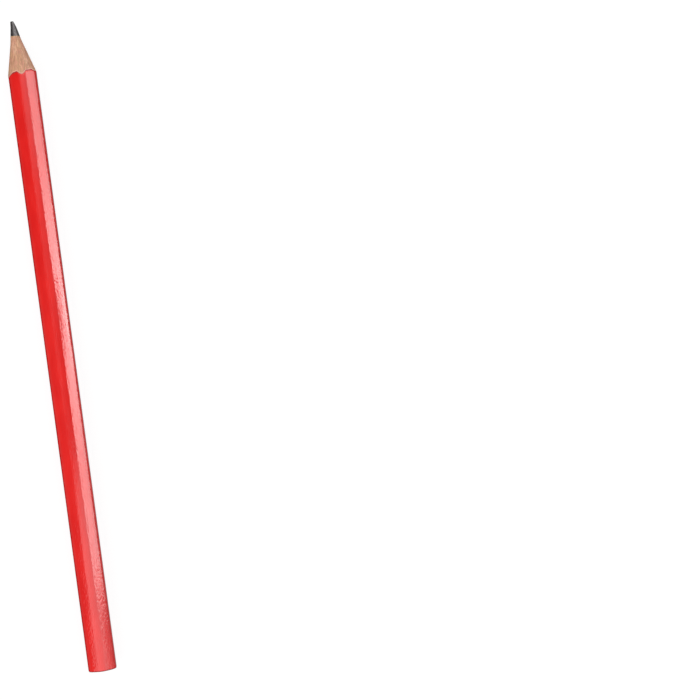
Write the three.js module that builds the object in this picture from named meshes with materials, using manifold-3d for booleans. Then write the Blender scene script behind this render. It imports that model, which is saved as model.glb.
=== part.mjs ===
// A wood-cased pencil with a round graphite core: six-sided barrel, red lacquer, sharpened to a point.
//
// Frame, in millimetres: the pencil lies on one of its six flats on the plane z = 0, with its length
// along x. The writing point is at -x, the sawn butt end at +x, and +z goes up out of the top flat.
//
// From the inside out: the graphite core lies in a groove shared by two wooden half casings, a glue
// film joins the halves and beds the core, and an undercoat and a colour coat cover the six sides.
// All of it is cut back by the sharpening, which is a slim cone at the point and a wider one behind it.

import * as THREE from "three";
import { mergeVertices } from "three/addons/utils/BufferGeometryUtils.js";
import Module from "manifold-3d";

const wasm = await Module();
wasm.setup();

// ---- Driving dimensions --------------------------------------------------------------------------

const LENGTH = 175; // writing point to butt end
const ACROSS_FLATS = 7.55; // over the colour coat
const CORNER_RADIUS = 2.2; // rounding of the six long edges, over the colour coat
const COLOUR_COAT = 0.09; // thickness
const UNDERCOAT = 0.05; // thickness

const CORE_DIAMETER = 2.5;
const CORE_OFF_CENTRE = { y: -0.48, z: -0.25 }; // the core sits a little off the barrel's axis
const GLUE_THICKNESS = 0.06; // between the halves, and half of it round the core

const WOOD_HALF_ANGLE = THREE.MathUtils.degToRad(14.6); // of the wide cone, over wood and paint
const POINT_HALF_ANGLE = THREE.MathUtils.degToRad(10.9); // of the slim cone, over core and wood
const CONES_MEET = 1.54; // the radius at which the slim cone turns into the wide one
const WORN_ANGLE = THREE.MathUtils.degToRad(42); // slope of the facet on the graphite point
const APEX_AHEAD = 0.3; // the wide cone would end this far ahead of the worn point
const APEX_OFF_CENTRE = { y: -0.706, z: -0.376 }; // and this far from the barrel's axis
const LEAN_ENDS = 15; // the cones' axis meets the barrel's this far behind the point

const ARC_DIVISIONS = 3; // a curved edge gets twice this many straight steps
const CORE_SIDES = 32;
const CONE_SIDES = 72;

// ---- Sizes worked out from them ------------------------------------------------------------------

const POINT_X = -LENGTH / 2;
const BUTT_X = LENGTH / 2;
const AXIS_Z = ACROSS_FLATS / 2;
const OVERRUN = 5; // how far a cutting solid runs past what it cuts

const depth = { colour: 0, undercoat: COLOUR_COAT, wood: COLOUR_COAT + UNDERCOAT }; // of each top
const coreRadius = CORE_DIAMETER / 2;
const coreAxis = new THREE.Vector3(0, CORE_OFF_CENTRE.y, AXIS_Z + CORE_OFF_CENTRE.z);
const grooveRadius = coreRadius + GLUE_THICKNESS / 2;
const seam = { low: coreAxis.z - GLUE_THICKNESS / 2, high: coreAxis.z + GLUE_THICKNESS / 2 };

// Both cones share one axis, and the slim one's apex is further ahead.
const wideApex = new THREE.Vector3(POINT_X - APEX_AHEAD, APEX_OFF_CENTRE.y, AXIS_Z + APEX_OFF_CENTRE.z);
const leanEnd = new THREE.Vector3(POINT_X + LEAN_ENDS, 0, AXIS_Z);
const coneAxis = leanEnd.clone().sub(wideApex).normalize();
const lean = new THREE.Vector3(0, APEX_OFF_CENTRE.y, APEX_OFF_CENTRE.z).normalize();
const leanAngle = coneAxis.angleTo(new THREE.Vector3(1, 0, 0));
const slimApex = wideApex
  .clone()
  .addScaledVector(
    coneAxis,
    CONES_MEET / Math.tan(WOOD_HALF_ANGLE) - CONES_MEET / Math.tan(POINT_HALF_ANGLE),
  );

// ---- Solids --------------------------------------------------------------------------------------

// A closed three.js geometry as a manifold-3d solid.
function solid(geometry) {
  const bare = geometry.index ? geometry.toNonIndexed() : geometry.clone();
  bare.deleteAttribute("normal");
  bare.deleteAttribute("uv");
  const merged = mergeVertices(bare, 1e-5);
  return new wasm.Manifold(
    new wasm.Mesh({
      numProp: 3,
      vertProperties: merged.attributes.position.array,
      triVerts: new Uint32Array(merged.index.array),
    }),
  );
}

// A manifold-3d solid as a three.js geometry.
function geometryOf(body) {
  const mesh = body.getMesh();
  const geometry = new THREE.BufferGeometry();
  geometry.setAttribute("position", new THREE.BufferAttribute(mesh.vertProperties, 3));
  geometry.setIndex(new THREE.BufferAttribute(mesh.triVerts, 1));
  const faceted = geometry.toNonIndexed();
  faceted.computeVertexNormals();
  return faceted;
}

// A hexagon with rounded corners and two flats square to the shape's x axis, `inset` inside the
// colour coat's surface.
function barrelSection(inset) {
  const flat = ACROSS_FLATS / 2 - inset;
  const radius = CORNER_RADIUS - inset;
  const corner = (flat - radius) / Math.cos(Math.PI / 6); // distance of a rounding's centre
  const shape = new THREE.Shape();
  for (let i = 0; i < 6; i++) {
    const middle = Math.PI / 6 + (i * Math.PI) / 3;
    const x = corner * Math.cos(middle);
    const y = corner * Math.sin(middle);
    shape.absarc(x, y, radius, middle - Math.PI / 6, middle + Math.PI / 6, false);
  }
  shape.closePath();
  return shape;
}

// The six-sided bar `inset` inside the colour coat's surface, from before the point to `endX`.
function bar(inset, endX) {
  const startX = POINT_X - OVERRUN;
  const geometry = new THREE.ExtrudeGeometry(barrelSection(inset), {
    depth: endX - startX,
    bevelEnabled: false,
    curveSegments: ARC_DIVISIONS,
  });
  geometry.rotateY(Math.PI / 2);
  geometry.translate(startX, 0, AXIS_Z);
  return solid(geometry);
}

// A round rod on the core's axis, from before the point to `endX`.
function rod(radius, endX) {
  const startX = POINT_X - OVERRUN;
  const geometry = new THREE.CylinderGeometry(radius, radius, endX - startX, CORE_SIDES);
  geometry.rotateZ(-Math.PI / 2);
  geometry.translate((startX + endX) / 2, coreAxis.y, coreAxis.z);
  return solid(geometry);
}

// A block over the whole pencil between two heights.
function slab(lowZ, highZ) {
  const geometry = new THREE.BoxGeometry(LENGTH + 4 * OVERRUN, 4 * ACROSS_FLATS, highZ - lowZ);
  geometry.translate(0, 0, (lowZ + highZ) / 2);
  return solid(geometry);
}

// A cone from `apex` back over the whole pencil.
function coneFrom(apex, halfAngle) {
  const height = LENGTH + 8 * OVERRUN;
  const radius = height * Math.tan(halfAngle);
  const geometry = new THREE.ConeGeometry(radius, height, CONE_SIDES);
  geometry.translate(0, -height / 2, 0); // the apex at the origin, opening towards -y
  const turn = new THREE.Quaternion().setFromUnitVectors(new THREE.Vector3(0, -1, 0), coneAxis);
  geometry.applyQuaternion(turn);
  geometry.translate(apex.x, apex.y, apex.z);
  return solid(geometry);
}

// What writing has worn off the graphite: all that lies outside a sloping facet, which leaves the
// point on the side that the cone leans to.
function wornAway() {
  const run = POINT_X - slimApex.x;
  const point = slimApex
    .clone()
    .add(new THREE.Vector3(run, 0, 0))
    .addScaledVector(lean, run * Math.tan(POINT_HALF_ANGLE - leanAngle));
  const outward = new THREE.Vector3(-Math.sin(WORN_ANGLE), 0, 0).addScaledVector(
    lean,
    -Math.cos(WORN_ANGLE),
  );
  const size = 4 * CORE_DIAMETER;
  const geometry = new THREE.BoxGeometry(size, size, size);
  geometry.translate(0, 0, size / 2);
  const turn = new THREE.Quaternion().setFromUnitVectors(new THREE.Vector3(0, 0, 1), outward);
  geometry.applyQuaternion(turn);
  geometry.translate(point.x, point.y, point.z);
  return solid(geometry);
}

// ---- Pieces --------------------------------------------------------------------------------------

// What the sharpener leaves.
const sharpened = coneFrom(wideApex, WOOD_HALF_ANGLE).add(coneFrom(slimApex, POINT_HALF_ANGLE));

function graphiteCore() {
  return rod(coreRadius, BUTT_X).intersect(sharpened).subtract(wornAway());
}

// One half of the wooden casing, between two heights, with its half of the core's groove.
function casing(lowZ, highZ) {
  return bar(depth.wood, BUTT_X)
    .intersect(slab(lowZ, highZ))
    .subtract(rod(grooveRadius, BUTT_X + OVERRUN))
    .intersect(sharpened);
}

function glueFilm() {
  return bar(depth.wood, BUTT_X)
    .intersect(slab(seam.low, seam.high))
    .add(rod(grooveRadius, BUTT_X))
    .subtract(rod(coreRadius, BUTT_X + OVERRUN))
    .intersect(sharpened);
}

// A coat of paint on the six sides, between two depths below the finished surface.
function coat(outerDepth, innerDepth) {
  return bar(outerDepth, BUTT_X)
    .subtract(bar(innerDepth, BUTT_X + OVERRUN))
    .intersect(sharpened);
}

const materials = {
  graphite: new THREE.MeshStandardMaterial({ color: 0x3c3d41, roughness: 0.42, metalness: 0.35 }),
  wood: new THREE.MeshStandardMaterial({ color: 0xd0a27c, roughness: 0.78, metalness: 0 }),
  glue: new THREE.MeshStandardMaterial({ color: 0xe6d3b4, roughness: 0.6, metalness: 0 }),
  undercoat: new THREE.MeshStandardMaterial({ color: 0xf0dcd2, roughness: 0.7, metalness: 0 }),
  colour: new THREE.MeshStandardMaterial({ color: 0xe2201c, roughness: 0.22, metalness: 0 }),
};

function piece(name, body, material) {
  const mesh = new THREE.Mesh(geometryOf(body), material);
  mesh.name = name;
  return mesh;
}

const pencil = new THREE.Group();
pencil.name = "pencil";
pencil.add(
  piece("graphite_core", graphiteCore(), materials.graphite),
  piece("lower_casing", casing(-OVERRUN, seam.low), materials.wood),
  piece("upper_casing", casing(seam.high, ACROSS_FLATS + OVERRUN), materials.wood),
  piece("glue_film", glueFilm(), materials.glue),
  piece("undercoat", coat(depth.undercoat, depth.wood), materials.undercoat),
  piece("colour_coat", coat(depth.colour, depth.undercoat), materials.colour),
);

export default pencil;
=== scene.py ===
"""The looks of a red wood-cased pencil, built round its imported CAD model. Blender 4.5, metres.

The pencil lies along x on the plane z = 0, with its point at -x and its butt end at +x. Its pieces are
built again as fine meshes in the places that the CAD frame gives, with procedural materials.
"""

import math

import bmesh
import bpy
import numpy as np
from mathutils import Matrix, Vector, noise


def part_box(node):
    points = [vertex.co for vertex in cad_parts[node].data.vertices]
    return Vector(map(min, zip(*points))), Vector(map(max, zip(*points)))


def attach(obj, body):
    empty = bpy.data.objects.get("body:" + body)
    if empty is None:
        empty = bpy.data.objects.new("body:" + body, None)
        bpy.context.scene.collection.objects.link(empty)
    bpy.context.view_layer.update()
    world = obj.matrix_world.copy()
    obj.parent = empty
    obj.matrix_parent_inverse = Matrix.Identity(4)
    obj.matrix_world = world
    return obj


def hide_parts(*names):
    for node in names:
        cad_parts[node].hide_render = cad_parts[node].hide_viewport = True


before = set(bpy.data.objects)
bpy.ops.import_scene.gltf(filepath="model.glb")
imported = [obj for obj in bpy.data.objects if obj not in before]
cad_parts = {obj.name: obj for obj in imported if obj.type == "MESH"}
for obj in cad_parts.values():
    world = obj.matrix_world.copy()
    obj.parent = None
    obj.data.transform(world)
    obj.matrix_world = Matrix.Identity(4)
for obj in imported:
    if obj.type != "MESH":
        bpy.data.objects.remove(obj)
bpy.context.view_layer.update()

MM = 0.001

# ---- What the frame gives ------------------------------------------------------------------------

core_low, core_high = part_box("graphite_core")
coat_low, coat_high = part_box("colour_coat")
under_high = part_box("undercoat")[1]
upper_low, upper_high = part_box("upper_casing")
lower_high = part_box("lower_casing")[1]

POINT_X = core_low.x
BUTT_X = core_high.x
APOTHEM = (coat_high.z - coat_low.z) / 2
AXIS_Z = (coat_high.z + coat_low.z) / 2
UNDERCOAT_DEPTH = coat_high.z - under_high.z
WOOD_DEPTH = coat_high.z - upper_high.z
CORE_RADIUS = (core_high.y - core_low.y) / 2
CORE_Y = (core_high.y + core_low.y) / 2
SEAM_LOW = lower_high.z
SEAM_HIGH = upper_low.z
CORE_Z = (SEAM_LOW + SEAM_HIGH) / 2
GROOVE_RADIUS = CORE_RADIUS + (SEAM_HIGH - SEAM_LOW) / 2

# ---- Sizes that the boxes don't show, the same as in the CAD -------------------------------------

CORNER_RADIUS = 2.2 * MM
WOOD_HALF_ANGLE = math.radians(14.6)
POINT_HALF_ANGLE = math.radians(10.9)
CONES_MEET = 1.54 * MM
WORN_ANGLE = math.radians(42)
APEX_AHEAD = 0.3 * MM
APEX_Y = -0.706 * MM
APEX_Z = -0.376 * MM
LEAN_ENDS = 15 * MM

BLUNTED = 0.72 * MM  # how much of the point has rubbed off
NOSE = 0.2 * MM  # length of its rounded end
BUTT_ROUNDING = 0.34 * MM  # of the edge round the butt end

wood_apex = Vector((POINT_X - APEX_AHEAD, APEX_Y, AXIS_Z + APEX_Z))
cone_axis = (Vector((POINT_X + LEAN_ENDS, 0, AXIS_Z)) - wood_apex).normalized()
point_ahead = CONES_MEET / math.tan(POINT_HALF_ANGLE) - CONES_MEET / math.tan(WOOD_HALF_ANGLE)
point_apex = wood_apex - cone_axis * point_ahead
lean = Vector((0, APEX_Y, APEX_Z)).normalized()
lean_angle = cone_axis.angle(Vector((1, 0, 0)))

# The sharpener cut a little out of round: how much wider the cone is, at degrees round it from +y.
OUT_OF_ROUND = (
    (25, 0.0),
    (55, 0.055),
    (73, 0.062),
    (86, 0.022),
    (93, 0.018),
    (103, 0.037),
    (118, 0.01),
    (134, 0.027),
    (150, -0.004),
    (168, 0.018),
    (185, 0.015),
    (200, 0.0),
)

# ---- Fineness ------------------------------------------------------------------------------------

COAT_COLUMNS = 264
COAT_ROWS = 250
CASING_COLUMNS = 160
CASING_BARREL_ROWS = 12  # behind the cone
CONE_ROWS = 90
SEAM_POINTS = 25  # from the groove out to the barrel
CORE_COLUMNS = 96
POINT_ROWS = 110  # over the stretch of the core that is sharpened
CORE_BARREL_ROWS = 14  # behind it
CORE_END_ROWS = 12  # over its face at the butt
ROUNDING_ROWS = 9  # over the edge round the butt, and over the nose
HALVINGS = 40  # of the stretch in which a crossing is looked for
WELD = 0.0002 * MM  # points closer than this are one
CREASE = math.radians(28)  # edges that turn by more than this are sharp


# ---- Shapes as distances -------------------------------------------------------------------------


def hexagon_distance(y, z, depth):
    """How far outside the barrel's rounded hexagon, taken `depth` under the colour coat's surface."""
    radius = CORNER_RADIUS - depth
    flat = APOTHEM - CORNER_RADIUS
    across, up = np.abs(y), np.abs(z - AXIS_Z)
    fold = 2 * np.minimum(0.5 * up - math.sqrt(3) / 2 * across, 0)
    across, up = across + math.sqrt(3) / 2 * fold, up - 0.5 * fold
    across = across - np.clip(across, -flat / math.sqrt(3), flat / math.sqrt(3))
    up = up - flat
    return np.hypot(across, up) * np.where(up < 0, -1, 1) - radius


def sharpened_distance(x, y, z):
    """How far outside what the sharpener left, which is a slim cone at the point and a wider one."""
    dx, dy, dz = x - wood_apex.x, y - wood_apex.y, z - wood_apex.z
    along = dx * cone_axis.x + dy * cone_axis.y + dz * cone_axis.z
    off = np.sqrt(np.maximum(dx * dx + dy * dy + dz * dz - along * along, 0))
    round_it = np.degrees(np.arctan2(dz - along * cone_axis.z, dy - along * cone_axis.y))
    wider = 1 + np.interp(round_it, *np.array(OUT_OF_ROUND).T)
    wide = (off - along * math.tan(WOOD_HALF_ANGLE) * wider) * math.cos(WOOD_HALF_ANGLE)
    slim = (off - (along + point_ahead) * math.tan(POINT_HALF_ANGLE)) * math.cos(POINT_HALF_ANGLE)
    return np.minimum(wide, slim)


def crossing(outside, low, high):
    """Where outside() turns positive between the arrays low, which is inside, and high."""
    for _ in range(HALVINGS):
        middle = (low + high) / 2
        out = outside(middle) > 0
        high = np.where(out, middle, high)
        low = np.where(out, low, middle)
    return (low + high) / 2


def rounded_off(x):
    """How far the barrel's sides draw in at x, in the rounding of the butt's edge."""
    into = np.clip((x - BUTT_X) / BUTT_ROUNDING + 1, 0, 1)
    return BUTT_ROUNDING * (1 - np.sqrt(1 - into**2))


def butt_rounding_x():
    """Places in x over the rounding of the butt's edge, closer together towards its end."""
    return BUTT_X - BUTT_ROUNDING * (1 - np.sin(np.linspace(0, math.pi / 2, ROUNDING_ROWS)))


def away_from_ends(share, steepness):
    """0 where share is 0 or 1, and 1 a little way in from both; the steeper, the sooner."""
    return np.clip(steepness * share * (1 - share), 0, 1)


def ripple(x, y, z, size, seed):
    """Smooth noise, about -1 to 1, with features of about `size`, at arrays of points."""
    seed_step = 17.3  # how far apart in the noise two seeds look
    arrays = np.broadcast_arrays(x, y, z)
    points = np.column_stack([a.ravel() for a in arrays]) / size + seed_step * seed
    values = [noise.noise(point) for point in points.tolist()]
    return np.array(values).reshape(arrays[0].shape)


# ---- Meshes --------------------------------------------------------------------------------------


def grid(points):
    """A sheet's points, in an array of rows by columns by 3, with its quads."""
    rows, columns = points.shape[:2]
    corner = np.arange(rows * columns).reshape(rows, columns)
    faces = np.stack([corner[:-1, :-1], corner[:-1, 1:], corner[1:, 1:], corner[1:, :-1]], axis=-1)
    return points.reshape(-1, 3), faces.reshape(-1, 4)


def wrapped(rows):
    """Rings of points as one sheet, which ends on the column that it starts with."""
    points = np.array(rows)
    return np.concatenate([points, points[:, :1]], axis=1)


def piece_of(name, sheets, node):
    """One closed piece, sewn from sheets, each given as (points, material)."""
    built = bmesh.new()
    materials = []
    for points, material in sheets:
        if material not in materials:
            materials.append(material)
        corners, faces = grid(points)
        verts = [built.verts.new(corner) for corner in corners.tolist()]
        for face in faces.tolist():
            built.faces.new([verts[i] for i in face]).material_index = materials.index(material)
    bmesh.ops.remove_doubles(built, verts=built.verts, dist=WELD)
    bmesh.ops.dissolve_degenerate(built, edges=built.edges, dist=WELD / 2)
    bmesh.ops.recalc_face_normals(built, faces=built.faces)
    mesh = bpy.data.meshes.new(name)
    built.to_mesh(mesh)
    built.free()
    for material in materials:
        mesh.materials.append(material)
    mesh.shade_smooth()
    mesh.set_sharp_from_angle(angle=CREASE)
    piece = bpy.data.objects.new(name, mesh)
    bpy.context.scene.collection.objects.link(piece)
    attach(piece, "root")
    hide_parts(node)


# ---- Coats of paint ------------------------------------------------------------------------------


def coat(name, node, outer_depth, inner_depth, chipping, crown, waviness, seed, skin, cut):
    """A coat on the six sides, cut back by the sharpener and sawn off square at the butt.

    chipping is how far the cut edge is torn back at most, crown is how much the paint thins out from
    the middle of a flat to the edge beside it, and waviness is how far its skin swells and sinks.
    """
    angle = np.linspace(0, 2 * math.pi, COAT_COLUMNS, endpoint=False)
    ray_y, ray_z = np.cos(angle), np.sin(angle)
    none, far = np.zeros(COAT_COLUMNS), np.full(COAT_COLUMNS, 2 * APOTHEM)

    def reach(depth):
        return crossing(lambda r: hexagon_distance(r * ray_y, AXIS_Z + r * ray_z, depth), none, far)

    outer, inner = reach(outer_depth), reach(inner_depth)
    outer = outer - crown * (1 - np.cos(6 * (angle - math.pi / 6))) / 2
    torn = 0.5 + 0.5 * ripple(ray_y, ray_z, 0, 1 / 6, seed)
    nicked = np.clip(ripple(ray_y, ray_z, 0, 1 / 14, seed + 1) - 0.25, 0, 1)
    back = chipping * (0.3 * torn + 0.8 * nicked)

    def cut_edge(radius):
        """Where the sharpener's cone leaves a surface of that radius."""
        y, z = radius * ray_y, AXIS_Z + radius * ray_z
        start = np.full(COAT_COLUMNS, POINT_X)
        end = np.full(COAT_COLUMNS, POINT_X + 4 * LEAN_ENDS)
        return crossing(lambda x: -sharpened_distance(x, y, z), start, end) + back

    outer_x, inner_x = cut_edge(outer), cut_edge(inner)

    def ring(x, radius):
        return np.stack([x + none, radius * ray_y, AXIS_Z + radius * ray_z], axis=-1)

    cut_face = [ring(inner_x + (outer_x - inner_x) * t, inner + (outer - inner) * t)
                for t in np.linspace(0, 1, 5)]

    share = np.linspace(0, 1, COAT_ROWS)
    share = share - 0.12 * np.sin(2 * math.pi * share) / (2 * math.pi)  # closer at both ends
    skin_x = outer_x + (BUTT_X - BUTT_ROUNDING - outer_x) * share[:, None]
    calm = away_from_ends(share, 40)[:, None]
    y, z = outer * ray_y, AXIS_Z + outer * ray_z
    swell = ripple(skin_x / 9, y, z, 0.5 * MM, seed + 2) + 0.5 * ripple(skin_x, y, z, 1.7 * MM, seed + 3)
    skin_radius = outer - waviness * calm * (0.6 - 0.5 * swell)
    skin_rows = [ring(x, radius) for x, radius in zip(skin_x, skin_radius)]

    rim_x = butt_rounding_x()
    rim_rows = [ring(x, outer - rounded_off(x)) for x in rim_x]
    butt_face = [ring(BUTT_X, outer - BUTT_ROUNDING), ring(BUTT_X, inner - BUTT_ROUNDING)]
    lining = [ring(x, inner - rounded_off(x)) for x in rim_x[::-1]]
    lining += [ring(inner_x + (rim_x[0] - inner_x) * t, inner) for t in np.linspace(1, 0, 6)[1:]]

    piece_of(
        name,
        [
            (wrapped(cut_face), cut),
            (wrapped(skin_rows), skin),
            (wrapped(rim_rows[:2]), skin),
            # Most of the rounding round the butt's edge takes the cut colour: on the lacquer coat this
            # paints a dark line of shade along that edge.
            (wrapped(rim_rows[1:]), cut),
            (wrapped(butt_face), cut),
            (wrapped(lining), cut),
        ],
        node,
    )


# ---- Wooden casing -------------------------------------------------------------------------------


def casing(name, node, seam_z, side, seed, wood):
    """Half of the wooden casing: side is 1 for the upper half and -1 for the lower one."""
    angle = np.linspace(0, math.pi, CASING_COLUMNS)
    ray_y, ray_z = np.cos(angle), side * np.sin(angle)
    none, far = np.zeros(CASING_COLUMNS), np.full(CASING_COLUMNS, 2 * APOTHEM)

    def section(r):
        return CORE_Y + r * ray_y, seam_z + r * ray_z

    # The groove is a circle round the core's axis, and the rays start on the half's own seam face.
    offset = side * (seam_z - CORE_Z)
    rise = offset * np.sin(angle)
    groove = np.sqrt(GROOVE_RADIUS**2 - offset**2 + rise**2) - rise
    barrel = crossing(lambda r: hexagon_distance(*section(r), WOOD_DEPTH), none, far)

    def cone_start(r):
        """Where the cone's surface is that far from the seam's middle line."""
        y, z = section(r)
        start = np.full(CASING_COLUMNS, POINT_X)
        end = np.full(CASING_COLUMNS, POINT_X + 4 * LEAN_ENDS)
        return crossing(lambda x: -sharpened_distance(x, y, z), start, end)

    ragged = 0.1 * MM * np.sin(angle) * ripple(ray_y, ray_z, 0, 1 / 3.5, seed + 4)
    tip_x, crease_x = cone_start(groove) + np.abs(ragged), cone_start(barrel)

    def cone_radius(x):
        def outside(r):
            y, z = section(r)
            return sharpened_distance(x, y, z)

        return crossing(outside, none, far)

    fibre_height = 0.012 * MM
    rows_x, rows_r = [], []
    for t in np.linspace(0, 1, CONE_ROWS):
        x = tip_x + (crease_x - tip_x) * t
        r = cone_radius(x)
        y, z = section(r)
        fibres = ripple(x / 14, y, z, 0.16 * MM, seed) + ripple(x / 9, y, z, 0.5 * MM, seed + 1)
        rows_x.append(x)
        rows_r.append(r - fibre_height * away_from_ends(t, 25) * (1 + fibres))
    rim_x = butt_rounding_x()
    for t in np.linspace(0, 1, CASING_BARREL_ROWS)[1:]:
        rows_x.append(crease_x + (rim_x[0] - crease_x) * t)
        rows_r.append(barrel)
    for end_x in rim_x[1:]:
        rows_x.append(np.full(CASING_COLUMNS, end_x))
        rows_r.append(barrel - rounded_off(end_x))
    x, outer = np.array(rows_x), np.array(rows_r)
    outer[0] = groove

    def points(x, r):
        y, z = section(r)
        return np.stack([x + 0 * r, y, z], axis=-1)

    shares = np.linspace(0, 1, SEAM_POINTS)  # of the way from the groove out to the barrel

    def seam(column):
        """The face that meets the other half, at the first or the last angle."""
        r = groove[column] + (outer[:, column, None] - groove[column]) * shares
        y = CORE_Y + r * ray_y[column]
        return np.stack([x[:, column, None] + 0 * r, y, seam_z + 0 * r], axis=-1)

    # The sawn end: shallow arcs from the saw, dying out at the edges so that it meets its neighbours.
    r = groove + (barrel - BUTT_ROUNDING - groove) * shares[:, None]
    y, z = section(r)
    saw_y, saw_z, saw_spacing = -30 * MM, 22 * MM, 0.055 * MM
    wander = 2 * ripple(0, y, z, 0.8 * MM, 5)
    saw = np.sin(np.hypot(y - saw_y, z - saw_z) / saw_spacing + wander)
    pits = ripple(0, y, z, 0.13 * MM, seed + 2)
    depth = 0.008 * MM * (1 + saw) + 0.014 * MM * (1 + pits)
    calm = away_from_ends(shares, 30)[:, None] * np.clip(12 * np.sin(angle), 0, 1)
    sawn = points(BUTT_X - depth * calm, r)

    piece_of(
        name,
        [
            (points(x, outer), wood),
            (points(x, groove + 0 * x), wood),
            (seam(0), wood),
            (seam(-1), wood),
            (sawn, wood),
        ],
        node,
    )


# ---- Graphite core -------------------------------------------------------------------------------


def core(graphite):
    """The round core, sharpened with the slim cone and worn to a slanting facet and a blunt point.

    Its sections are worked out in a reach, which is how far a point lies to the side that the cones
    lean to, and a side, which is how far it lies square to that.
    """
    across = Vector((1, 0, 0)).cross(lean)
    start_reach = (point_apex - Vector((0, 0, AXIS_Z))).dot(lean)
    near_slope = math.tan(POINT_HALF_ANGLE - lean_angle)  # of the side that the cones lean to
    far_slope = math.tan(POINT_HALF_ANGLE + lean_angle)
    core_reach = CORE_Y * lean.y + (CORE_Z - AXIS_Z) * lean.z
    core_side = CORE_Y * across.y + (CORE_Z - AXIS_Z) * across.z
    turn = np.linspace(0, 2 * math.pi, CORE_COLUMNS, endpoint=False)
    toward, sideways = np.cos(turn), np.sin(turn)
    tip_reach = start_reach + (POINT_X - point_apex.x) * near_slope
    centred_by = 4 * MM  # the rays' line has come to the core's axis this far behind the point

    def section(x):
        """The outline at x, found by rays from a line that runs from the point to the core's axis."""
        worn_x = x + BLUNTED * max(0, 1 - (x - POINT_X) / (2 * BLUNTED))
        run = worn_x - point_apex.x
        near_edge, far_edge = start_reach + run * near_slope, start_reach - run * far_slope
        facet = tip_reach - (worn_x - POINT_X) * math.tan(WORN_ANGLE)
        thickness = near_edge - max(facet, far_edge)
        centre = near_edge - thickness / 2
        centre += (core_reach - centre) * min(1, (x - POINT_X) / centred_by)
        blend = min(0.16 * MM, 0.5 * thickness + 1e-9)  # softens the facet's edge

        def outside(r):
            reach, side = centre + r * toward, r * sideways
            past_cone = np.hypot(reach - (near_edge + far_edge) / 2, side) - (near_edge - far_edge) / 2
            past_rod = np.hypot(reach - core_reach, side - core_side) - CORE_RADIUS
            past_facet = (facet - reach) * math.cos(WORN_ANGLE)
            share = np.clip(0.5 + 0.5 * (past_facet - past_cone) / blend, 0, 1)
            worn = past_cone + (past_facet - past_cone) * share + blend * share * (1 - share)
            return np.maximum(worn, past_rod)

        none, far = np.zeros(CORE_COLUMNS), np.full(CORE_COLUMNS, 4 * CORE_RADIUS)
        r = crossing(outside, none, far)
        reach, side = centre + r * toward, r * sideways
        y = reach * lean.y + side * across.y
        z = AXIS_Z + reach * lean.z + side * across.z
        grain = ripple(x / 5, y, z, 0.12 * MM, 41) + 0.7 * ripple(x, y / 3, z / 3, 0.1 * MM, 42)
        keep = 1 - 0.006 * grain * min(1, (x - POINT_X) / MM)
        y, z = CORE_Y + (y - CORE_Y) * keep, CORE_Z + (z - CORE_Z) * keep
        return np.stack([x + 0 * y, y, z], axis=-1)

    # The nose is the section behind it, drawn in to a rounded end.
    behind = section(POINT_X + NOSE)
    nose_middle = behind.mean(axis=0)
    rows = []
    for turned in np.linspace(0, math.pi / 2, ROUNDING_ROWS)[:-1]:
        ring = nose_middle + (behind - nose_middle) * math.sin(turned)
        ring[:, 0] = POINT_X + NOSE * (1 - math.cos(turned))
        rows.append(ring)

    sharpened_to = POINT_X + 5 * MM
    rows += [section(x) for x in np.linspace(POINT_X + NOSE, sharpened_to, POINT_ROWS)]
    rows += [section(x) for x in np.linspace(sharpened_to, BUTT_X, CORE_BARREL_ROWS)[1:]]

    # The butt face is rings from its edge in to its middle, a little rough from the saw.
    edge, butt_middle = rows[-1], np.array((BUTT_X, CORE_Y, CORE_Z))
    for share in np.linspace(0.97, 0, CORE_END_ROWS):
        ring = butt_middle + (edge - butt_middle) * share
        ring[:, 0] -= 0.01 * MM * (1 + ripple(0, ring[:, 1], ring[:, 2], 0.25 * MM, 43))
        rows.append(ring)
    piece_of("graphite_lead", [(wrapped(rows), graphite)], "graphite_core")


# ---- Materials -----------------------------------------------------------------------------------


def add(tree, kind, inputs, **settings):
    """A node. inputs gives each socket, by name or number, a value or another node's output."""
    made = tree.nodes.new(kind)
    for setting, value in settings.items():
        setattr(made, setting, value)
    for socket, value in inputs.items():
        if isinstance(value, bpy.types.NodeSocket):
            tree.links.new(value, made.inputs[socket])
        else:
            made.inputs[socket].default_value = value
    return made


def math_of(tree, operation, *values):
    return add(tree, "ShaderNodeMath", dict(enumerate(values)), operation=operation).outputs[0]


def stretched(tree, along, across):
    """Object coordinates counted in features that are `along` long in x and `across` wide."""
    place = add(tree, "ShaderNodeTexCoord", {}).outputs["Object"]
    scale = (1 / along, 1 / across, 1 / across)
    return add(tree, "ShaderNodeMapping", {"Vector": place, "Scale": scale}).outputs[0]


def noise_of(tree, along, across, detail=2.0, distortion=0.0):
    """Smooth noise, 0 to 1, with features of that size."""
    inputs = {
        "Vector": stretched(tree, along, across),
        "Scale": 1.0,
        "Detail": detail,
        "Distortion": distortion,
    }
    return add(tree, "ShaderNodeTexNoise", inputs).outputs["Fac"]


def between(tree, value, low, high, at_low=0.0, at_high=1.0):
    """value's stretch from low to high, spread over at_low to at_high and held outside it."""
    inputs = {"Value": value, 1: low, 2: high, 3: at_low, 4: at_high}
    made = add(tree, "ShaderNodeMapRange", inputs, interpolation_type="SMOOTHSTEP")
    return made.outputs[0]


def mixed(tree, share, first, second):
    """Colour `first` where share is 0, and `second` where it is 1."""
    made = add(tree, "ShaderNodeMix", {"Factor": share}, data_type="RGBA")
    first_socket, second_socket = made.inputs[6], made.inputs[7]  # the two that take colours
    for socket, colour in ((first_socket, first), (second_socket, second)):
        if isinstance(colour, bpy.types.NodeSocket):
            tree.links.new(colour, socket)
        else:
            socket.default_value = (*colour, 1)
    return made.outputs[2]


def bumped(tree, height, distance, strength=1.0, below=None):
    inputs = {"Height": height, "Distance": distance, "Strength": strength}
    if below is not None:
        inputs["Normal"] = below
    return add(tree, "ShaderNodeBump", inputs).outputs[0]


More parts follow.
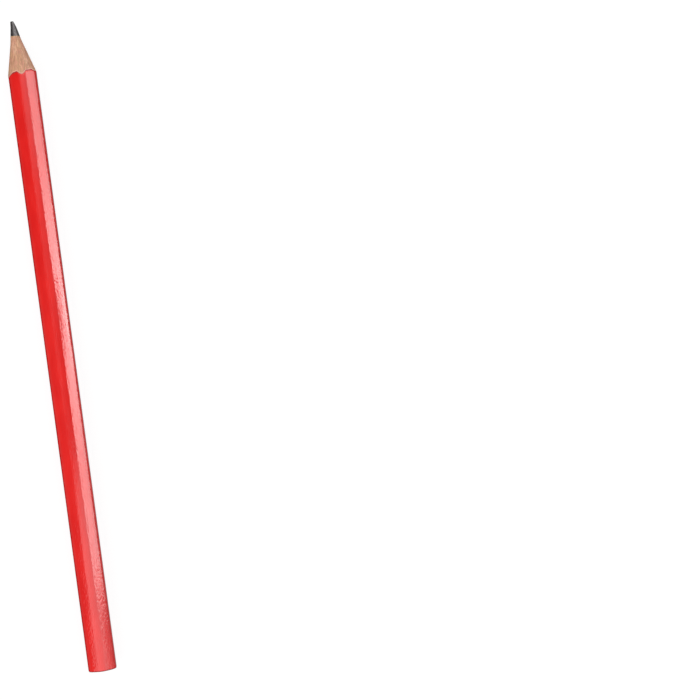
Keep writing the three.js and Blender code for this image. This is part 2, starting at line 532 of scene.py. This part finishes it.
def surface(name, build):
    """A material whose Principled inputs are what build(tree) returns."""
    material = bpy.data.materials.new(name)
    material.use_nodes = True
    tree = material.node_tree
    shader = tree.nodes["Principled BSDF"]
    for socket, value in build(tree).items():
        if isinstance(value, bpy.types.NodeSocket):
            tree.links.new(value, shader.inputs[socket])
        else:
            shader.inputs[socket].default_value = value
    return material


def red_lacquer(tree):
    """Glossy red lacquer: a little uneven in depth of colour, with fine dimples in its skin."""
    cloud = noise_of(tree, 9 * MM, 3 * MM, detail=3)
    streak = noise_of(tree, 30 * MM, 0.35 * MM)
    dimples = noise_of(tree, 0.65 * MM, 0.55 * MM, detail=1.0)
    peel = noise_of(tree, 0.2 * MM, 0.15 * MM)
    deep, bright = (0.74, 0.008, 0.0065), (0.82, 0.013, 0.01)
    colour = mixed(tree, between(tree, cloud, 0.3, 0.7), deep, bright)
    coarse = bumped(tree, dimples, 0.052 * MM)
    return {
        "Base Color": colour,
        "Roughness": between(tree, streak, 0.3, 0.7, 0.14, 0.19),
        "IOR": 1.5,
        "Coat Weight": 0.5,
        "Coat Roughness": 0.05,
        "Normal": bumped(tree, peel, 0.006 * MM, 1.0, coarse),
        "Coat Normal": coarse,
    }


def cut_lacquer_and_edge_shade(tree):
    """Where the lacquer is cut through: dull and darker. It is also laid over most of the rounding round
    the butt's edge, where its darkness is a painted dark line of shade along that edge.
    """
    speck = noise_of(tree, 0.2 * MM, 0.12 * MM)
    colour = mixed(tree, speck, (0.26, 0.01, 0.01), (0.46, 0.02, 0.016))
    return {
        "Base Color": colour,
        "Roughness": 0.55,
        "Normal": bumped(tree, speck, 0.02 * MM, 0.5),
    }


def undercoat_paint(tree):
    """The pale, chalky coat under the colour."""
    speck = noise_of(tree, 0.3 * MM, 0.15 * MM)
    colour = mixed(tree, speck, (0.76, 0.34, 0.25), (0.86, 0.54, 0.42))
    return {
        "Base Color": colour,
        "Roughness": 0.7,
        "Normal": bumped(tree, speck, 0.02 * MM, 0.5),
    }


def dry_glue(tree):
    """A thin line of dried glue, amber where it is thick."""
    cloud = noise_of(tree, 1.2 * MM, 0.3 * MM)
    colour = mixed(tree, cloud, (0.42, 0.24, 0.12), (0.6, 0.4, 0.23))
    return {
        "Base Color": colour,
        "Roughness": between(tree, cloud, 0.2, 0.8, 0.4, 0.6),
        "Normal": bumped(tree, cloud, 0.01 * MM, 0.5),
    }


def pencil_wood(pith_y, pith_z, ring_width):
    """Pencil wood cut along the grain. Its growth rings are about a pith that lies outside the slat."""

    def build(tree):
        wander = noise_of(tree, 40 * MM, 4 * MM)
        place = add(tree, "ShaderNodeTexCoord", {}).outputs["Object"]
        shift = add(
            tree,
            "ShaderNodeMapping",
            {"Vector": place, "Location": (0, -pith_y, -pith_z), "Scale": (0.06, 1, 1)},
        )
        reach = add(tree, "ShaderNodeVectorMath", {0: shift.outputs[0]}, operation="LENGTH")
        wide = math_of(tree, "DIVIDE", reach.outputs["Value"], ring_width)
        year = math_of(tree, "FRACT", math_of(tree, "ADD", wide, wander))
        late = math_of(tree, "POWER", year, 3.5)
        turned = math_of(tree, "MULTIPLY", late, between(tree, year, 0.93, 1.0, 1.0, 0.0))
        fibre = noise_of(tree, 5 * MM, 0.36 * MM, detail=3)
        broad = noise_of(tree, 12 * MM, 0.9 * MM)
        patch = noise_of(tree, 4 * MM, 0.8 * MM, distortion=0.6)
        vessel = between(tree, noise_of(tree, 1.8 * MM, 0.2 * MM, detail=1), 0.6, 0.68)
        plain = (0.64, 0.355, 0.2)
        pink = (0.7, 0.33, 0.228)
        dark = (0.38, 0.178, 0.105)
        pale = (0.83, 0.515, 0.337)
        colour = mixed(tree, between(tree, patch, 0.35, 0.65), plain, pink)
        colour = mixed(tree, between(tree, broad, 0.45, 0.72, 0.0, 0.7), colour, pale)
        colour = mixed(tree, between(tree, broad, 0.48, 0.28, 0.0, 0.45), colour, dark)
        colour = mixed(tree, math_of(tree, "MULTIPLY", turned, 0.3), colour, dark)
        colour = mixed(tree, between(tree, fibre, 0.42, 0.68, 0.0, 0.55), colour, dark)
        colour = mixed(tree, math_of(tree, "MULTIPLY", vessel, 0.5), colour, dark)
        height = math_of(tree, "SUBTRACT", fibre, vessel)
        return {
            "Base Color": colour,
            "Roughness": between(tree, fibre, 0.3, 0.7, 0.62, 0.8),
            "Specular IOR Level": 0.3,
            "Normal": bumped(tree, height, 0.02 * MM, 0.7),
        }

    return build


def sharpened_graphite(tree):
    """Fired graphite and clay: dark grey, burnished along the cone, with fine cutting marks."""
    smear = noise_of(tree, 2.5 * MM, 0.14 * MM, detail=3)
    rings = noise_of(tree, 0.07 * MM, 1.2 * MM)
    grain = noise_of(tree, 0.08 * MM, 0.08 * MM)
    colour = mixed(tree, between(tree, smear, 0.3, 0.7), (0.031, 0.027, 0.028), (0.1, 0.09, 0.09))
    height = math_of(tree, "ADD", math_of(tree, "MULTIPLY", rings, 0.7), grain)
    return {
        "Base Color": colour,
        "Metallic": 0.3,
        "Roughness": between(tree, smear, 0.3, 0.7, 0.4, 0.28),
        "Normal": bumped(tree, height, 0.012 * MM, 0.6),
    }


# ---- The pieces ----------------------------------------------------------------------------------


def make_pencil():
    lacquer = surface("red_lacquer", red_lacquer)
    lacquer_cut_and_edge_shade = surface("cut_lacquer_and_edge_shade", cut_lacquer_and_edge_shade)
    primer = surface("undercoat_paint", undercoat_paint)
    upper_wood = pencil_wood(9 * MM, AXIS_Z + 21 * MM, 0.95 * MM)
    lower_wood = pencil_wood(-14 * MM, AXIS_Z + 16 * MM, 1.15 * MM)
    coat(
        "lacquer_coat",
        "colour_coat",
        outer_depth=0.0,
        inner_depth=UNDERCOAT_DEPTH,
        chipping=0.2 * MM,
        crown=0.055 * MM,
        waviness=0.012 * MM,
        seed=1,
        skin=lacquer,
        cut=lacquer_cut_and_edge_shade,
    )
    coat(
        "primer_coat",
        "undercoat",
        outer_depth=UNDERCOAT_DEPTH,
        inner_depth=WOOD_DEPTH,
        chipping=0.06 * MM,
        crown=0.0,
        waviness=0.0,
        seed=11,
        skin=primer,
        cut=primer,
    )
    casing("upper_slat", "upper_casing", SEAM_HIGH, 1, 21, surface("upper_wood", upper_wood))
    casing("lower_slat", "lower_casing", SEAM_LOW, -1, 31, surface("lower_wood", lower_wood))
    core(surface("graphite", sharpened_graphite))
    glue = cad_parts["glue_film"]
    glue.data.materials.clear()
    glue.data.materials.append(surface("dry_glue", dry_glue))


# ---- Floor, lights and camera --------------------------------------------------------------------

VIEW_ELEVATION = math.radians(62)  # of the camera over the pencil's middle, square to its length
VIEW_DISTANCE = 3 * (BUTT_X - POINT_X)
ROLL = math.radians(82.41)  # the pencil stands almost upright in the picture, point up
SENSOR = 36.0
FRAME_WIDTH = 187.3 * MM  # what the picture spans at the pencil's middle
PLACE = (-0.4155, 0.0053)  # of the pencil's middle, in frame widths right of and above the centre

REFLECTOR_RADIUS = 0.16
REFLECTOR_HALF_LENGTH = 0.24
# Brightness of the strip behind the pencil, at shares of the pencil's length from its point.
STRIP = (
    (-0.08, 0.4),
    (0.0, 3.4),
    (0.17, 3.7),
    (0.22, 4.2),
    (0.28, 5.1),
    (0.34, 6.4),
    (0.40, 7.2),
    (0.46, 11.0),
    (0.52, 6.4),
    (0.58, 5.9),
    (0.64, 5.2),
    (0.70, 3.8),
    (0.80, 4.7),
    (0.865, 4.6),
    (0.885, 1.1),
    (0.92, 0.6),
    (0.95, 0.5),
    (1.0, 0.8),
)
# And of the card over its point.
POINT_CARD = (
    (-0.08, 5.0),
    (-0.02, 0.95),
    (0.06, 0.95),
    (0.18, 0.8),
    (0.25, 0.35),
    (0.42, 0.25),
    (0.5, 0.0),
)
BUTT_CARD = 1.7  # and of the card over its butt end
BACKDROP, BACKDROP_GAIN = 0.12, 0.07  # of all the rest, and how much more that is behind the point
LOW_GLOW = 0.08  # and how much more again low down on both sides

# Degrees round the reflector at which its parts start and end. A pair of numbers is a soft step.
STRIP_BOTTOM = (16, 24)
STRIP_FULL = (42, 58)  # the strip is a fifth darker below this
STRIP_TOP = ((0.4, 72), (0.7, 70))  # at shares of the length
STRIP_TOP_FADE = 3
NOTCH_SHARE, NOTCH_LENGTH, NOTCH_DEPTH = 0.455, 0.045, 14  # in the top where the strip is brightest
CARDS_START = (58, 68)
POINT_CARD_END = (115, 172)
BUTT_CARD_END = ((0.64, 100), (0.70, 130), (0.76, 160), (0.83, 170), (0.92, 176), (0.98, 181.5))
BUTT_CARD_FADE = ((0.64, 30), (0.70, 30), (0.76, 20), (0.83, 14), (0.92, 6), (0.98, 4))
LOW_BEHIND, LOW_IN_FRONT = (-5, 16), (190, 205)

SOFTBOX_SIZE = 0.7
KEY_PLACE = Vector((0.05, -0.779, 0.45))  # on the camera's side, and lower
FILL_PLACE = Vector((0, 0.877, 0.2))  # low behind the pencil

middle = Vector(((POINT_X + BUTT_X) / 2, 0, AXIS_Z))
to_camera = Vector((0, -math.cos(VIEW_ELEVATION), math.sin(VIEW_ELEVATION)))
over_length = Vector((0, math.sin(VIEW_ELEVATION), math.cos(VIEW_ELEVATION)))


def make_camera():
    """Square to the pencil's middle, rolled, and then panned so that the pencil is at the left."""
    data = bpy.data.cameras.new("camera")
    camera = bpy.data.objects.new("camera", data)
    bpy.context.scene.collection.objects.link(camera)
    length_way = Vector((1, 0, 0))
    right = length_way * math.cos(ROLL) + over_length * math.sin(ROLL)
    up = over_length * math.cos(ROLL) - length_way * math.sin(ROLL)
    pan = math.asin(-PLACE[0] * FRAME_WIDTH / VIEW_DISTANCE)
    focal = VIEW_DISTANCE * math.cos(pan) / FRAME_WIDTH  # in frame widths
    tilt = math.atan2(-PLACE[1] * math.cos(pan), focal)
    turn = Matrix.Rotation(-pan, 3, up)
    right, back = turn @ right, turn @ to_camera
    turn = Matrix.Rotation(tilt, 3, right)
    up, back = turn @ up, turn @ back
    camera.matrix_world = Matrix.Translation(middle + to_camera * VIEW_DISTANCE) @ (
        Matrix((right, up, back)).transposed().to_4x4()
    )
    data.sensor_width = SENSOR
    data.lens = focal * SENSOR
    data.clip_start, data.clip_end = 0.01, 100
    bpy.context.scene.camera = camera


def make_floor():
    """A plain white floor that gives off light of its own, as paper on a light table does."""

    def build(tree):
        cloud = noise_of(tree, 60 * MM, 60 * MM)
        colour = mixed(tree, cloud, (0.16, 0.16, 0.16), (0.18, 0.18, 0.18))
        return {
            "Base Color": colour,
            "Roughness": 0.9,
            "Specular IOR Level": 0.0,
            "Emission Color": (1, 1, 1, 1),
            "Emission Strength": 0.895,
        }

    half = 4.0
    level = -0.01 * MM
    mesh = bpy.data.meshes.new("floor")
    corners = [(-half, -half, level), (half, -half, level), (half, half, level), (-half, half, level)]
    mesh.from_pydata(corners, [], [(0, 1, 2, 3)])
    mesh.materials.append(surface("floor", build))
    floor = bpy.data.objects.new("floor", mesh)
    bpy.context.scene.collection.objects.link(floor)
    floor.visible_glossy = False
    floor.visible_diffuse = False


def softbox(name, place, radiance):
    """A soft square light, turned to the pencil, which adds no reflection."""
    data = bpy.data.lights.new(name, "AREA")
    data.shape = "SQUARE"
    data.size = SOFTBOX_SIZE
    data.energy = radiance * SOFTBOX_SIZE**2 * math.pi  # in watts
    light = bpy.data.objects.new(name, data)
    bpy.context.scene.collection.objects.link(light)
    back = (place - middle).normalized()
    right = (Vector((1, 0, 0)) - back * back.x).normalized()
    up = back.cross(right)
    light.matrix_world = Matrix.Translation(place) @ (
        Matrix((right, up, back)).transposed().to_4x4()
    )
    light.visible_camera = False
    light.visible_glossy = False


def rising(value, low, high):
    """0 below low and 1 above high, with a soft step between them."""
    t = np.clip((value - low) / (high - low), 0, 1)
    return t * t * (3 - 2 * t)


def looked_up(table, share):
    """What a table of (share of the pencil's length, value) gives at a share."""
    return np.interp(share, *np.array(table).T)


def shine(share, around):
    """How bright the soft reflector is, at a share of the pencil's length and at degrees round it.

    The degrees run from behind the pencil, over the top, to the front. A long strip hangs low behind
    it, and weaker white cards stand over its point and over its butt end.
    """
    notch = NOTCH_DEPTH * np.exp(-(((share - NOTCH_SHARE) / NOTCH_LENGTH) ** 2))
    top = looked_up(STRIP_TOP, share) - notch
    strip = looked_up(STRIP, share) * rising(around, *STRIP_BOTTOM)
    strip = strip * (0.8 + 0.2 * rising(around, *STRIP_FULL))
    strip = strip * (1 - rising(around, top - STRIP_TOP_FADE, top + STRIP_TOP_FADE))
    cards = rising(around, *CARDS_START)
    end, fade = looked_up(BUTT_CARD_END, share), looked_up(BUTT_CARD_FADE, share)
    butt_card = BUTT_CARD * rising(share, 0.6, 0.76) * cards
    butt_card = butt_card * (1 - rising(around, end - fade, end + fade))
    point_card = looked_up(POINT_CARD, share) * cards * (1 - rising(around, *POINT_CARD_END))
    backdrop = BACKDROP + BACKDROP_GAIN * rising(share, 0.3, 0.5)
    low_glow = LOW_GLOW * (1 - rising(around, *LOW_BEHIND) + rising(around, *LOW_IN_FRONT))
    return backdrop + low_glow + strip + butt_card + point_card


def make_reflector():
    """A reflector bent round over the pencil, which shows only in its gloss."""
    x = np.linspace(-REFLECTOR_HALF_LENGTH, REFLECTOR_HALF_LENGTH, 161)[:, None]
    around = np.linspace(-60, 240, 151)[None, :]
    turn = np.radians(around)
    y, z = REFLECTOR_RADIUS * np.cos(turn), AXIS_Z + REFLECTOR_RADIUS * np.sin(turn)
    corners, faces = grid(np.stack(np.broadcast_arrays(x, y, z), axis=-1))
    mesh = bpy.data.meshes.new("reflector")
    mesh.from_pydata(corners.tolist(), [], faces.tolist())
    spread = 1 + REFLECTOR_RADIUS / VIEW_DISTANCE  # a reflection's place on it against the pencil's
    share = 0.5 + x / spread / (BUTT_X - POINT_X)
    glow = mesh.attributes.new("glow", "FLOAT", "POINT")
    glow.data.foreach_set("value", shine(share, around).ravel())
    material = bpy.data.materials.new("reflector")
    material.use_nodes = True
    tree = material.node_tree
    tree.nodes.clear()
    painted = add(tree, "ShaderNodeAttribute", {}, attribute_name="glow").outputs["Fac"]
    light = add(tree, "ShaderNodeEmission", {"Strength": painted}).outputs[0]
    add(tree, "ShaderNodeOutputMaterial", {"Surface": light})
    mesh.materials.append(material)
    reflector = bpy.data.objects.new("reflector", mesh)
    bpy.context.scene.collection.objects.link(reflector)
    reflector.visible_camera = False
    reflector.visible_diffuse = False
    reflector.visible_transmission = False
    reflector.visible_shadow = False


def make_lights():
    softbox("key", KEY_PLACE, radiance=3.9)
    softbox("fill", FILL_PLACE, radiance=1.5)


def make_world():
    """Soft white light all round, weaker from below, which doesn't show in gloss.

    What the camera sees of it is plain white.
    """
    world = bpy.data.worlds.new("studio")
    world.use_nodes = True
    tree = world.node_tree
    tree.nodes.clear()
    way = add(tree, "ShaderNodeTexCoord", {}).outputs["Generated"]
    height = add(tree, "ShaderNodeSeparateXYZ", {"Vector": way}).outputs["Z"]
    backdrop = add(tree, "ShaderNodeLightPath", {}).outputs["Is Camera Ray"]
    strength = math_of(tree, "MAXIMUM", backdrop, between(tree, height, -0.7, 0.9, 0.11, 0.55))
    back = add(tree, "ShaderNodeBackground", {"Color": (1, 1, 1, 1), "Strength": strength})
    add(tree, "ShaderNodeOutputWorld", {"Surface": back.outputs[0]})
    world.cycles_visibility.glossy = False
    bpy.context.scene.world = world


make_pencil()
make_floor()
make_lights()
make_reflector()
make_world()
make_camera()
bpy.context.scene.view_settings.view_transform = "Standard"

bpy.context.view_layer.update()
